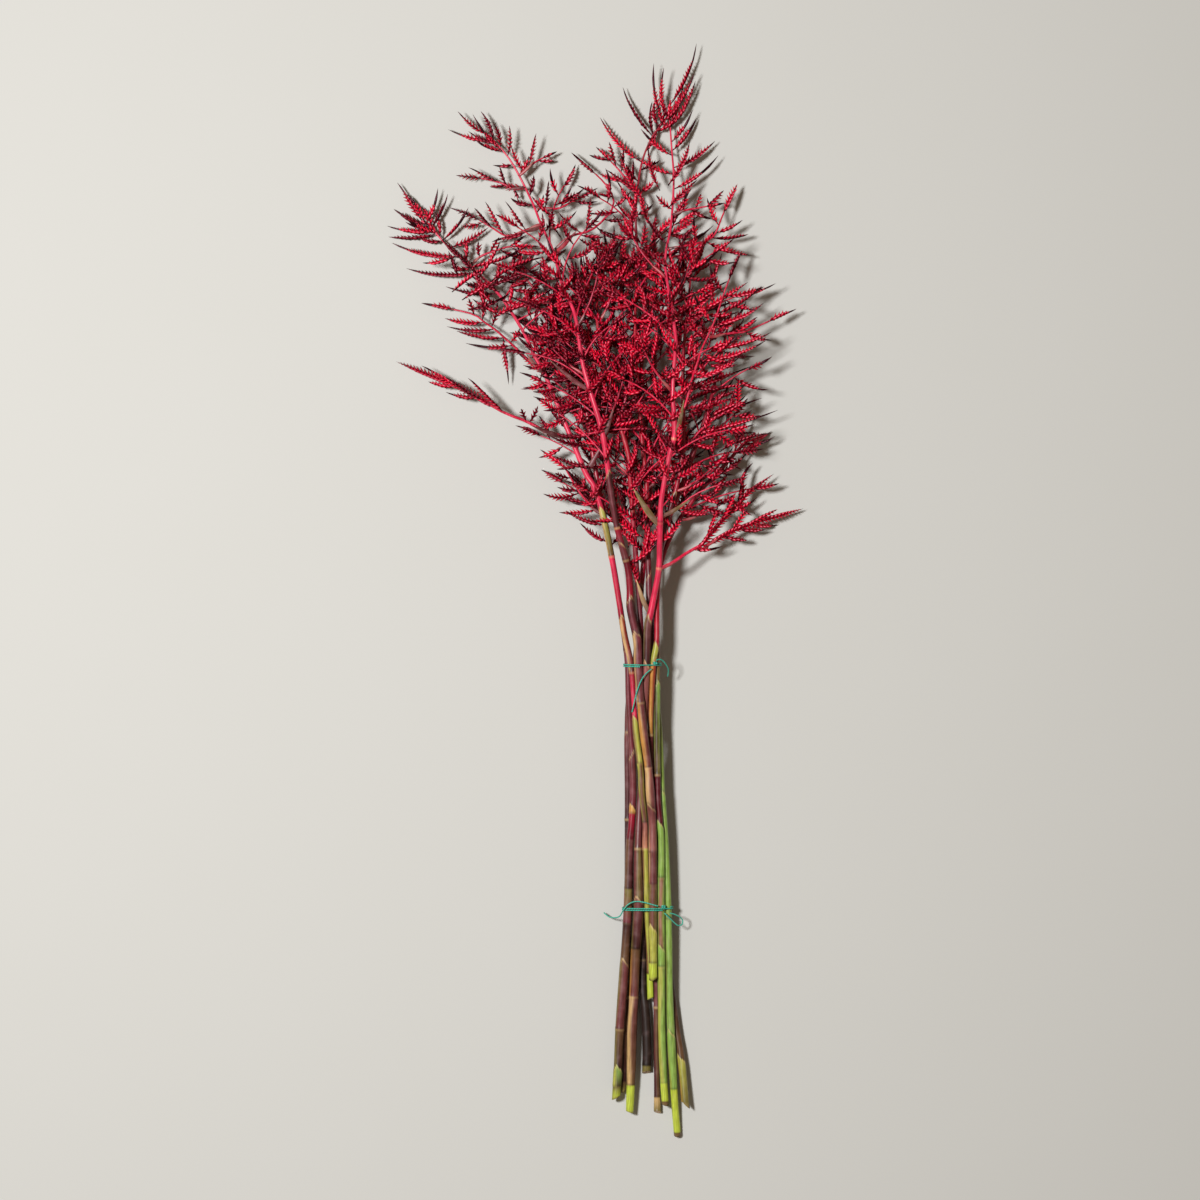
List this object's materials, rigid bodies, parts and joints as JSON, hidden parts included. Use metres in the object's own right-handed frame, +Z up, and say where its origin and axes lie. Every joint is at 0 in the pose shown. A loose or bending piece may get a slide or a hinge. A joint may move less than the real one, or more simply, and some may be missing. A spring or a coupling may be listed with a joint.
{
  "type": "cut flower stem bundle",
  "caption": "Bundle of long cut bromeliad stalks with branching crimson flower spikes, lying on its side and tied twice with thin green string",
  "frame": {"origin": "On the surface that the bundle lies on, under the middle of its outline", "axes": "+Y runs along the stalks from their cut ends to the flower heads, +Z is up, +X is to the right when the flower heads point away from the viewer"},
  "size_m": [0.42, 1.0995, 0.1001],
  "materials": {
    "string": "thin twisted sea-green string",
    "stem_a_stalk": "satin, waxy jointed stalk with dry sheaths",
    "flower_branch": "satin, dry crimson bracts with dark tips",
    "stem_b_stalk": "satin, waxy jointed stalk with dry sheaths",
    "stem_c_stalk": "satin, waxy jointed stalk with dry sheaths",
    "stem_d_stalk": "satin, waxy jointed stalk with dry sheaths",
    "stem_e_stalk": "satin, waxy jointed stalk with dry sheaths",
    "stem_f_stalk": "satin, waxy jointed stalk with dry sheaths",
    "stem_g_stalk": "satin, waxy jointed stalk with dry sheaths",
    "stem_h_stalk": "satin, waxy jointed stalk with dry sheaths",
    "stem_i_stalk": "satin, waxy jointed stalk with dry sheaths",
    "stem_j_stalk": "satin, waxy jointed stalk with dry sheaths"
  },
  "bodies": {
    "root": {"lower_tie": "string", "lower_tie_loop": "string", "lower_tie_tail": "string", "stem_a": "stem_a_stalk", "stem_a_branch_1": "flower_branch", "stem_a_branch_2": "flower_branch", "stem_a_branch_3": "flower_branch", "stem_a_branch_4": "flower_branch", "stem_b": "stem_b_stalk", "stem_b_branch_1": "flower_branch", "stem_b_branch_2": "flower_branch", "stem_b_branch_3": "flower_branch", "stem_b_branch_4": "flower_branch", "stem_b_branch_5": "flower_branch", "stem_b_branch_6": "flower_branch", "stem_b_branch_7": "flower_branch", "stem_b_branch_8": "flower_branch", "stem_c": "stem_c_stalk", "stem_c_branch_1": "flower_branch", "stem_c_branch_2": "flower_branch", "stem_c_branch_3": "flower_branch", "stem_c_branch_4": "flower_branch", "stem_c_branch_5": "flower_branch", "stem_c_branch_6": "flower_branch", "stem_c_branch_7": "flower_branch", "stem_c_branch_8": "flower_branch", "stem_c_branch_9": "flower_branch", "stem_d": "stem_d_stalk", "stem_d_branch_1": "flower_branch", "stem_d_branch_2": "flower_branch", "stem_d_branch_3": "flower_branch", "stem_d_branch_4": "flower_branch", "stem_e": "stem_e_stalk", "stem_e_branch_1": "flower_branch", "stem_e_branch_2": "flower_branch", "stem_f": "stem_f_stalk", "stem_f_branch_1": "flower_branch", "stem_g": "stem_g_stalk", "stem_g_branch_1": "flower_branch", "stem_g_branch_2": "flower_branch", "stem_g_branch_3": "flower_branch", "stem_h": "stem_h_stalk", "stem_h_branch_1": "flower_branch", "stem_h_branch_2": "flower_branch", "stem_h_branch_3": "flower_branch", "stem_h_branch_4": "flower_branch", "stem_i": "stem_i_stalk", "stem_i_branch_1": "flower_branch", "stem_i_branch_2": "flower_branch", "stem_i_branch_3": "flower_branch", "stem_j": "stem_j_stalk", "stem_j_branch_1": "flower_branch", "stem_j_branch_2": "flower_branch", "stem_j_branch_3": "flower_branch", "stem_j_branch_4": "flower_branch", "upper_tie": "string", "upper_tie_long_tail": "string", "upper_tie_short_tail": "string"}
  },
  "joints": []
}
